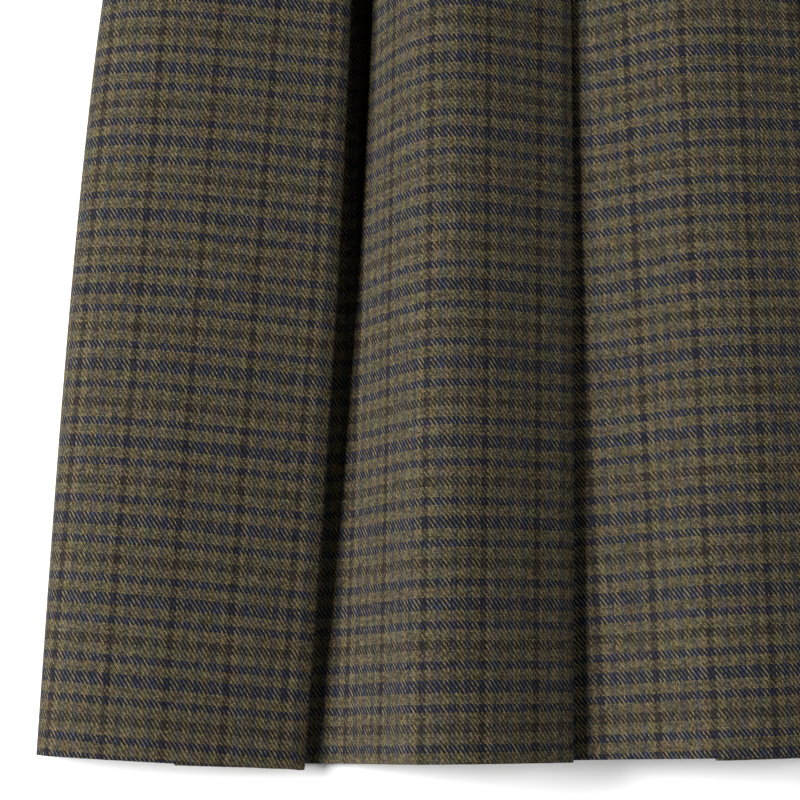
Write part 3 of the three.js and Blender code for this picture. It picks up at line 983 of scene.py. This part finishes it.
    def under(
        self, fold: int, height: float, curve: np.ndarray, crease: int
    ) -> tuple[np.ndarray, int, np.ndarray]:
        """The hidden part of a pleat: round its crease, back under its panel and round the inner fold.

        Args:
            fold: number of the pleat.
            height: height above the hem.
            curve: the fine line of the panel over it, with its roll.
            crease: which point of that line is the crease.

        Returns:
            The points, which of them is the middle of the inner fold, and the lowest layer's named points.
        """
        form, pleat = self.form, self.form.pleats[fold]
        spacing, edge = self.layer(height), self.edge(height)
        inner_x = form.fold_edge(fold, height) - form.underlay(height)
        start = int(np.argmax(curve[: crease + 1, 0]))
        face = curve[: start + 1]
        rising = face[np.concatenate([[True], np.diff(face[:, 0]) > 0])]
        xs = np.linspace(inner_x + spacing, curve[crease, 0], 30)
        heights = np.interp(xs, rising[:, 0], rising[:, 1])
        covered = np.stack([xs, heights, np.full(len(xs), pleat.edge_hem)], axis=1)
        over = np.concatenate([covered, curve[crease + 1 :]])
        shares = np.linspace(0.0, 1.0, len(over))
        distance = -lerp(spacing, 2 * edge, shares**2)
        lifts = lerp(pleat.inner_hem, pleat.edge_hem, shares)
        under = np.column_stack([offset_line(over, distance), lifts])[::-1]
        tip, back = over[-1], under[0]
        middle, reach = (tip + back)[:2] / 2, float(np.linalg.norm((tip - back)[:2])) / 2
        angle = math.atan2(tip[1] - back[1], tip[0] - back[0])
        lip = round_fold(middle, reach, angle - np.radians(np.linspace(30, 150, 5)), pleat.edge_hem)
        half = spacing / 2
        centre = (inner_x + half, under[-1, 1] - half)
        inner = round_fold(centre, half, np.radians(np.linspace(110, 250, 7)), pleat.inner_hem)
        turned = np.concatenate([lip, under, inner])
        bottom = self.bottom_points(fold, height, np.array([centre[0], centre[1] - half]))
        return turned, len(lip) + len(under) + len(inner) // 2, bottom

    def cut_at(
        self, points: np.ndarray, arc: np.ndarray, creases: list[int], owner: np.ndarray, height: float
    ) -> np.ndarray:
        """Where each point lies on its panel's flat cut.

        Args:
            points: the line's points.
            arc: their distance along the cloth.
            creases: each panel's crease, as a point's number.
            owner: each point's panel.
            height: height above the hem.

        Returns:
            Rows of the distance across the warp and the distance across the weft.
        """
        cut = np.zeros((len(points), 2))
        for panel, grain in enumerate(self.grains):
            mine = owner == panel
            crease = creases[panel]
            across = points[crease, 0] + arc[mine] - arc[crease]
            tilt = math.radians(grain.warp_tilt)
            cut[mine, 0] = across * math.cos(tilt) - height * math.sin(tilt) + grain.warp_start
            cut[mine, 1] = height + across * math.tan(math.radians(grain.weft_slope)) + grain.weft_start
        return cut

    def build(self, cloth: bpy.types.Material) -> bpy.types.Object:
        """Makes the front and dresses it.

        Args:
            cloth: the skirt's cloth.

        Returns:
            The piece.
        """
        self.cuts = []
        bottom: np.ndarray | None = None
        for panel in range(self.form.folds + 1):
            top = self.panel_points(panel, 0.0)
            controls = top if bottom is None else np.concatenate([bottom, top])
            if panel < self.form.folds:
                controls = np.concatenate([controls, self.roll_points(panel, 0.0)])
            cuts = self.steps(controls)
            if panel < self.form.folds:
                cuts[-3:] = [3, 3, 3]
                curve = smooth_line(controls, cuts)
                bottom = self.under(panel, 0.0, curve, sum(cuts[:-3]))[2]
            self.cuts.append(cuts)
        piece = self.shell(self.name, self.line, 1)
        piece.data.materials.append(cloth)
        shade(piece, 60)
        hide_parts(self.node)
        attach(piece, "root")
        return piece


@dataclass
class BackSkirt(ClothSheet):
    """The back: flat on the surface, with its pleats folded to the inside."""

    name: str = "back_cloth"
    node: str = "skirt_back"
    half_wall: float = 0.45
    hem_fold: float = 0.3
    base: float = 0.62
    layer: float = 1.6
    shift_hem: float = 17.0
    shift_waist: float = 12.0
    settle: float = 10.0
    hem_lift: float = 6.5
    fold_cuts: int = 6
    outer_cuts: int = 34
    hidden_cuts: int = 16
    lower_cuts: int = 18

    def line(self, height: float) -> ClothLine:
        """The whole line of the back's cloth at a height.

        Args:
            height: height above the hem.

        Returns:
            The line, with its flat cut.
        """
        form, base, radius = self.form, self.base, self.layer / 2
        side = form.side(height)
        curl = [(0.55, 2.0), (0.6, 1.5), (1.2, base + 0.15), (2.6, base)]
        rows: list[tuple[float, float, float]] = [(-side + inset, z, form.side_lift[0]) for inset, z in curl]

        def run(to_x: float, z: float, count: int) -> None:
            """Adds evenly spaced points along a flat stretch."""
            from_x = rows[-1][0]
            rows.extend((lerp(from_x, to_x, i / count), z, self.hem_lift) for i in range(1, count + 1))

        def arc(centre_x: float, centre_z: float, start: float, end: float) -> None:
            """Adds the points of a round fold."""
            for i in range(self.fold_cuts + 1):
                turn = math.radians(lerp(start, end, i / self.fold_cuts))
                x, z = centre_x + radius * math.cos(turn), centre_z + radius * math.sin(turn)
                rows.append((x, z, self.hem_lift))

        for fold in range(form.folds):
            shift = lerp(self.shift_hem, self.shift_waist, height / form.length)
            edge_x = form.fold_edge(fold, height) - shift
            inner_x = edge_x - form.underlay(height)
            run(edge_x - 2 * radius, base, self.outer_cuts)
            arc(edge_x - radius, base + radius, -90, 90)
            run(inner_x + 2 * radius, base + 2 * radius, self.hidden_cuts)
            arc(inner_x + radius, base + 3 * radius, 270, 90)
            run(edge_x + 2 * radius, base + 4 * radius, self.lower_cuts)
            for i in range(1, self.fold_cuts + 1):
                share = i / self.fold_cuts
                z = base + 4 * radius * (1 - smoothstep(share, 0.0, 1.0))
                rows.append((edge_x + 2 * radius + share * self.settle, z, self.hem_lift))
        run(side - 4.0, base, self.outer_cuts)
        rows.extend((side - inset, z, form.side_lift[1]) for inset, z in reversed(curl))
        points = np.array(rows, float)
        # Two slow ripples lift the cloth by up to a third of a millimetre, but not at the side seams.
        x = points[:, 0]
        ripple = 0.08 * (1 + np.sin(x / 29 + height / 47)) * (1 + np.sin(x / 17 - height / 71))
        points[:, 1] += ripple * np.clip((side - 8 - np.abs(x)) / 20, 0.0, 1.0)
        along = arc_length(points)
        cut = np.stack([along - along[-1] / 2, np.full(len(points), height)], axis=1)
        return ClothLine(points, cut, cut)

    def build(self, cloth: bpy.types.Material) -> bpy.types.Object:
        """Makes the back and dresses it.

        Args:
            cloth: the skirt's cloth.

        Returns:
            The piece.
        """
        piece = self.shell(self.name, self.line, -1)
        piece.data.materials.append(cloth)
        shade(piece, 60)
        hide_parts(self.node)
        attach(piece, "root")
        return piece


@dataclass(frozen=True)
class StitchRing:
    """One ring of a stitch: how far along it, how high over the cloth, and its radius."""

    along: float
    rise: float
    radius: float


@dataclass
class Waistband:
    """A folded strip round the waist, lapped over at the viewer's right and topstitched along both edges."""

    form: SkirtForm
    name: str = "waistband_cloth"
    node: str = "waistband"
    wall: float = 2.0
    full_wall: float = 2.4
    seam_height: float = 8.7
    top_height: float = 4.1
    taper: float = 2.5
    lap_length: float = 46.0
    lap_gap: float = 0.4
    side_radius: float = 5.0
    stitch_inset: float = 2.2
    stitch_pitch: float = 3.0
    stitch_sides: int = 6
    stitch: tuple[StitchRing, ...] = (
        StitchRing(0.0, -0.12, 0.1),
        StitchRing(0.35, 0.1, 0.17),
        StitchRing(1.15, 0.2, 0.19),
        StitchRing(1.95, 0.1, 0.17),
        StitchRing(2.3, -0.12, 0.1),
    )

    def path(self, share: float) -> np.ndarray:
        """The middle of the band's wall, from the lapped end right round to the end under the lap.

        Args:
            share: 0 at the waist seam and 1 at the top edge.

        Returns:
            Rows of x and z.
        """
        side = self.form.side(self.form.length) - share * self.taper
        half = self.full_wall / 2
        front = lerp(self.seam_height, self.top_height, share)
        lap = front + self.full_wall + self.lap_gap
        rows = [(x, lap) for x in np.linspace(side - self.lap_length, side - self.side_radius, 20)]

        def turn(centre: float, low: float, high: float, start: float, end: float) -> None:
            """Adds the band's turn round one side."""
            middle = (low + high) / 2
            for degrees in np.linspace(start, end, 15)[1:-1]:
                angle = math.radians(degrees)
                x = centre + (self.side_radius - half) * math.cos(angle)
                rows.append((x, middle + (high - middle) * math.sin(angle)))

        turn(side - self.side_radius, half, lap, 90, -90)
        rows.extend((x, half) for x in np.linspace(side - self.side_radius, -side + self.side_radius, 120))
        turn(-side + self.side_radius, half, front, 270, 90)
        end = side - self.side_radius - self.full_wall
        rows.extend((x, front) for x in np.linspace(-side + self.side_radius, end, 120))
        return np.array(rows, float)

    def profile(self) -> list[tuple[float, float]]:
        """The band's cut end: shares of its height and of half its wall, right round, with soft edges."""
        low = [(0.004, 0.45), (0.014, 0.80), (0.035, 0.93), (0.063, 0.90), (0.09, 0.97), (0.2, 1.0)]
        high = [(0.8, 1.0), (0.91, 0.97), (0.937, 0.90), (0.965, 0.93), (0.986, 0.80), (0.997, 0.45)]
        face = [*low, (0.5, 1.02), *high]
        return [*face, (1.0, 0.0), *[(share, -out) for share, out in reversed(face)], (0.0, 0.0)]

    def place(self, share: float) -> float:
        """Y of a share of the band's height."""
        return self.form.length + self.form.seam_gap + share * self.form.band_height - self.form.middle_y

    def build(self, cloth: bpy.types.Material) -> bpy.types.Object:
        """Makes the band as one closed folded strip and dresses it.

        Args:
            cloth: the skirt's cloth.

        Returns:
            The piece.
        """
        profile = self.profile()
        rings = []
        for share, out in profile:
            path = self.path(share)
            moved = offset_line(path, out * self.wall / 2)
            moved[:, 1] += 0.12 * np.sin(path[:, 0] / 9.0) * (abs(out) > 0.95) * np.sign(out)
            level = np.full(len(moved), self.place(share))
            rings.append(np.column_stack([moved[:, 0], level, moved[:, 1]]))
        points = np.concatenate(rings)
        columns, count = len(rings[0]), len(rings)
        arc = arc_length(self.path(0.5))
        shares = [share for share, _ in [*profile, profile[0]]]
        girth = np.concatenate([[0.0], np.cumsum(np.abs(np.diff(shares)) * self.form.band_height)])
        faces, cuts = [], []
        for row in range(count):
            for column in range(columns - 1):
                corners = [(row, column), (row, column + 1), (row + 1, column + 1), (row + 1, column)]
                faces.append([r % count * columns + c for r, c in corners])
                cuts.extend((arc[c], girth[r]) for r, c in corners)
        for column, flipped in ((0, False), (columns - 1, True)):
            ring = [row * columns + column for row in range(count)]
            faces.append(ring[::-1] if flipped else ring)
            cuts.extend([(arc[column], 0.0)] * count)
        piece = add_mesh(self.name, points, faces)
        add_cut(piece, cuts)
        piece.data.materials.append(cloth)
        shade(piece, 50)
        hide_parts(self.node)
        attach(piece, "root")
        return piece

    def stitches(self, thread: bpy.types.Material) -> bpy.types.Object:
        """Makes the topstitching: short slack stitches sunk a little at their ends.

        Args:
            thread: the sewing thread.

        Returns:
            The piece.
        """
        points: list[np.ndarray] = []
        faces: list[list[int]] = []
        turns = 2 * math.pi * np.arange(self.stitch_sides) / self.stitch_sides
        inset = self.stitch_inset / self.form.band_height
        for share in (inset, 1 - inset):
            path = self.path(share)
            arc = arc_length(path)
            out = offset_line(path, self.wall / 2 * 0.9)
            for start in np.arange(2.0, arc[-1] - 3.0, self.stitch_pitch):
                first = len(points) * self.stitch_sides
                faces.extend(tube_faces(first, len(self.stitch), self.stitch_sides, True))
                for ring in self.stitch:
                    here, ahead = (
                        np.array([np.interp(at, arc, out[:, 0]), np.interp(at, arc, out[:, 1])])
                        for at in (start + ring.along, start + ring.along + 0.1)
                    )
                    way = (ahead - here) / max(float(np.linalg.norm(ahead - here)), 1e-9)
                    lifted = ring.rise + ring.radius * np.cos(turns)
                    x, z = here[0] - way[1] * lifted, here[1] + way[0] * lifted
                    points.append(np.column_stack([x, self.place(share) + ring.radius * np.sin(turns), z]))
        piece = add_mesh("band_topstitching", np.concatenate(points), faces)
        piece.data.materials.append(thread)
        shade(piece, 60)
        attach(piece, "root")
        return piece


@dataclass
class WaistButton:
    """A four-hole button, dished inside its rim and sewn on with crossed thread."""

    form: SkirtForm
    band: Waistband
    node: str = "waist_button"
    radius: float = 7.5
    thickness: float = 2.6
    rim: float = 1.7
    rim_slope: float = 0.7
    dish: float = 0.75
    edge_round: float = 0.42
    hole_radius: float = 0.9
    hole_spread: float = 1.9
    from_end: float = 13.0

    def place(self) -> Matrix:
        """The button's own axes on the lap, in metres."""
        band = self.band
        slope = math.atan2(band.top_height - band.seam_height, self.form.band_height)
        lap = lerp(band.seam_height, band.top_height, 0.5) + band.full_wall + band.lap_gap
        clear = (band.full_wall / 2 + self.form.seam_gap) / math.cos(slope)
        x = self.form.side(self.form.length) - band.taper / 2 - band.lap_length + self.from_end
        seat = Vector((x, band.place(0.5), lap + clear)) * MM
        return Matrix.Translation(seat) @ Matrix.Rotation(slope, 4, "X")

    def build(self, horn: bpy.types.Material) -> bpy.types.Object:
        """Turns the button from a disc and bores its holes.

        Args:
            horn: the button's finish.

        Returns:
            The piece.
        """
        bpy.ops.object.select_all(action="DESELECT")
        middle = (0, 0, self.thickness / 2 * MM)
        bpy.ops.mesh.primitive_cylinder_add(
            vertices=72, radius=self.radius * MM, depth=self.thickness * MM, location=middle
        )
        piece = bpy.context.active_object
        piece.name = piece.data.name = "horn_button"
        bpy.ops.object.transform_apply(location=True)
        bpy.ops.object.mode_set(mode="EDIT")
        bpy.ops.mesh.select_all(action="DESELECT")
        bpy.ops.object.mode_set(mode="OBJECT")
        for face in piece.data.polygons:
            face.select = face.normal.z > 0.9
        bpy.ops.object.mode_set(mode="EDIT")
        bpy.ops.mesh.inset(thickness=self.rim * MM)
        bpy.ops.mesh.inset(thickness=self.rim_slope * MM)
        bpy.ops.transform.translate(value=(0, 0, -self.dish * MM))
        bpy.ops.mesh.select_all(action="DESELECT")
        bpy.ops.object.mode_set(mode="OBJECT")
        points = piece.data.vertices
        for edge in piece.data.edges:
            a, b = (points[i].co for i in edge.vertices)
            reach_a, reach_b = math.hypot(a.x, a.y), math.hypot(b.x, b.y)
            level = abs(a.z - b.z) < 1e-6
            outer = min(reach_a, reach_b) > (self.radius - 0.01) * MM
            ring = abs(reach_a - reach_b) < 1e-6 and a.z > 1.0 * MM
            edge.select = level and (outer or ring)
        bpy.ops.object.mode_set(mode="EDIT")
        bpy.ops.mesh.bevel(offset=self.edge_round * MM, segments=3)
        bpy.ops.object.mode_set(mode="OBJECT")
        for turn in map(math.radians, (45, 135, 225, 315)):
            hole = (self.hole_spread * math.cos(turn) * MM, self.hole_spread * math.sin(turn) * MM, 0)
            bpy.ops.object.select_all(action="DESELECT")
            bpy.ops.mesh.primitive_cylinder_add(
                vertices=20, radius=self.hole_radius * MM, depth=8 * MM, location=hole
            )
            drill = bpy.context.active_object
            bore = piece.modifiers.new("bore", "BOOLEAN")
            bore.operation, bore.object, bore.solver = "DIFFERENCE", drill, "EXACT"
            select_only(piece)
            bpy.ops.object.modifier_apply(modifier="bore")
            bpy.data.objects.remove(drill, do_unlink=True)
        piece.data.transform(self.place())
        piece.data.materials.append(horn)
        shade(piece, 35)
        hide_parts(self.node)
        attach(piece, "root")
        return piece

    def sewing(self, thread: bpy.types.Material) -> bpy.types.Object:
        """Makes the crossed thread that holds the button, and its short shank.

        Args:
            thread: the sewing thread.

        Returns:
            The piece.
        """
        points: list[np.ndarray] = []
        faces: list[list[int]] = []
        sides, radius = 8, 0.22
        turns = 2 * math.pi * np.arange(sides) / sides

        def strand(places: list[tuple[float, float, float]]) -> None:
            """Adds one closed strand along some places."""
            line = smooth_line(np.array(places, float), [4] * (len(places) - 1))
            faces.extend(tube_faces(len(points) * sides, len(line), sides, False))
            along = np.gradient(line, axis=0)
            for at, way in zip(line, along):
                way = way / np.linalg.norm(way)
                side = np.cross(way, (0.31, 0.17, 0.93))
                side /= np.linalg.norm(side)
                up = np.cross(side, way)
                points.append(at + radius * (np.cos(turns)[:, None] * side + np.sin(turns)[:, None] * up))

        reach = self.hole_spread * math.cos(math.pi / 4)
        top = self.thickness - self.dish
        for turn, rise in ((1, 0.0), (-1, 0.34)):
            for shift in (-0.25, 0.25):
                a = np.array([-reach + shift * turn, -reach * turn - shift])
                b = np.array([reach + shift * turn, reach * turn - shift])
                strand(
                    [
                        (a[0], a[1], -0.15),
                        (a[0], a[1], top - 0.35),
                        (a[0] * 0.86, a[1] * 0.86, top + 0.16 + rise * 0.5),
                        ((a[0] + b[0]) / 2, (a[1] + b[1]) / 2, top + 0.24 + rise),
                        (b[0] * 0.86, b[1] * 0.86, top + 0.16 + rise * 0.5),
                        (b[0], b[1], top - 0.35),
                        (b[0], b[1], -0.15),
                    ]
                )
        piece = add_mesh("button_thread", np.concatenate(points), faces)
        piece.data.transform(self.place())
        piece.data.materials.append(thread)
        shade(piece, 60)
        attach(piece, "root")
        return piece


# ------------------------------------------------------------------------------------------------------------
# The studio
# ------------------------------------------------------------------------------------------------------------


@dataclass
class Softbox:
    """A rectangular studio light, aimed at a point, in metres."""

    name: str
    place: tuple[float, float, float]
    aim: tuple[float, float, float]
    size: tuple[float, float]
    watts: float
    colour: tuple[float, float, float] = (1.0, 1.0, 1.0)

    def build(self) -> None:
        """Adds the light to the scene."""
        data = bpy.data.lights.new(self.name, "AREA")
        data.shape, data.size, data.size_y = "RECTANGLE", self.size[0], self.size[1]
        data.energy, data.color = self.watts, self.colour
        lamp = bpy.data.objects.new(self.name, data)
        lamp.location = self.place
        lamp.rotation_euler = (Vector(self.aim) - Vector(self.place)).to_track_quat("-Z", "Y").to_euler()
        bpy.context.scene.collection.objects.link(lamp)


@dataclass
class Studio:
    """A white floor, a raking key light from the left, a weak fill, and the camera over the hem.

    `focal_px` is the camera's focal length for a picture that is `picture_px` wide.
    """

    form: SkirtForm
    sensor_mm: float = 36.0
    picture_px: float = 800.0
    camera_distance: float = 940.0
    camera_tilt: float = 10.0
    camera_x: float = -79.5
    camera_height: float = 179.3
    focal_px: float = 1864.0
    ambient: float = 0.02
    lights: tuple[Softbox, ...] = field(
        default_factory=lambda: (
            Softbox("key", (-2.36, 0.0, 1.74), (-0.08, -0.12, 0.02), (1.3, 1.2), 184.0),
            Softbox("fill", (1.94, -0.12, 2.04), (-0.08, -0.12, 0.02), (1.3, 1.3), 32.0),
        )
    )

    def floor(self, board: bpy.types.Material) -> None:
        """Lays the floor just under the skirt."""
        bpy.ops.object.select_all(action="DESELECT")
        bpy.ops.mesh.primitive_plane_add(size=12.0, location=(0, 0, 0))
        piece = bpy.context.active_object
        piece.name = piece.data.name = "studio_floor"
        piece.data.materials.append(board)

    def camera(self) -> None:
        """Hangs the camera over the skirt, tilted a little from the hem's side."""
        data = bpy.data.cameras.new("camera")
        data.sensor_width = self.sensor_mm
        data.lens = self.focal_px / self.picture_px * self.sensor_mm
        data.clip_start, data.clip_end = 0.05, 50.0
        camera = bpy.data.objects.new("camera", data)
        aim = Vector((self.camera_x, self.camera_height - self.form.middle_y, 0)) * MM
        tilt = math.radians(self.camera_tilt)
        camera.location = aim + self.camera_distance * MM * Vector((0, -math.sin(tilt), math.cos(tilt)))
        camera.rotation_euler = (tilt, 0, 0)
        bpy.context.scene.collection.objects.link(camera)
        bpy.context.scene.camera = camera

    def build(self, board: bpy.types.Material) -> None:
        """Sets up the floor, the lights, the sky and the camera.

        Args:
            board: the floor's finish.
        """
        self.floor(board)
        for light in self.lights:
            light.build()
        world = bpy.data.worlds.new("studio")
        world.use_nodes = True
        background = world.node_tree.nodes["Background"]
        background.inputs["Color"].default_value = (1.0, 1.0, 1.0, 1.0)
        background.inputs["Strength"].default_value = self.ambient
        bpy.context.scene.world = world
        bpy.context.scene.view_settings.view_transform = "Standard"
        self.camera()


def main() -> None:
    """Builds the skirt, then the studio round it."""
    form = SkirtForm()
    cloth = CheckTwill("wool_worsted_twill", 0.92).material()
    thread = SewingThread("polyester_sewing_thread", 0.55).material()
    horn = PolishedHorn("polished_buffalo_horn", 0.32).material()
    board = StudioFloor("white_painted_board", 0.9).material()
    band = Waistband(form)
    button = WaistButton(form, band)
    pieces = [
        BackSkirt(form).build(cloth),
        FrontSkirt(form).build(cloth),
        band.build(cloth),
        band.stitches(thread),
        button.build(horn),
        button.sewing(thread),
    ]
    Studio(form).build(board)
    for piece in pieces:
        LOG.info("%s: %d faces", piece.name, len(piece.data.polygons))


if __name__ == "__main__":
    main()
